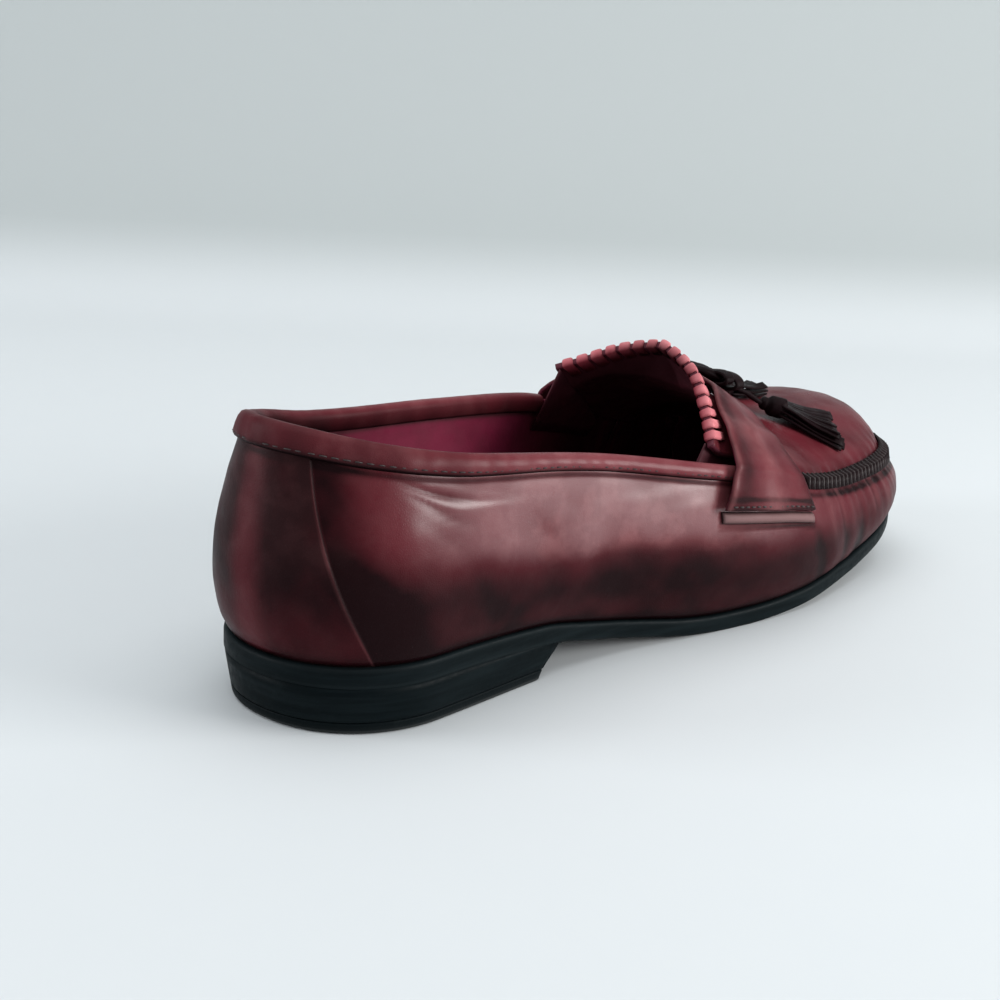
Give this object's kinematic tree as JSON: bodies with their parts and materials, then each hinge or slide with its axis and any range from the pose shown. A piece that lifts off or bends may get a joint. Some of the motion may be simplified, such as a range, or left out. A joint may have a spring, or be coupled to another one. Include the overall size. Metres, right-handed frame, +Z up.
{
  "type": "tassel loafer",
  "caption": "Right tassel loafer: hollow leather upper with apron seam, strap, bow and tassels on a thin sole with a low heel.",
  "frame": {"origin": "middle of the bottom face of the part's box", "axes": "+X from heel to toe, +Y towards the medial side, +Z up"},
  "size_m": [0.2968, 0.1078, 0.087],
  "materials": {
    "burgundy_leather": "polished smooth calf, soft broad shine",
    "dark_leather": "smooth, satin",
    "sock_leather": "matt",
    "black_edge": "inked edge, satin",
    "lift_rubber": "matt"
  },
  "bodies": {
    "root": {"upper": "burgundy_leather", "collar_binding": "burgundy_leather", "tongue": "burgundy_leather", "tongue_whip": "burgundy_leather", "strap": "burgundy_leather", "strap_end_lateral": "dark_leather", "strap_end_medial": "dark_leather", "apron_seam": "dark_leather", "tassel_knot": "dark_leather", "tassel_lateral": "dark_leather", "tassel_medial": "dark_leather", "outsole": "black_edge", "heel_block": "black_edge", "top_lift": "lift_rubber", "insole": "sock_leather"}
  },
  "joints": []
}
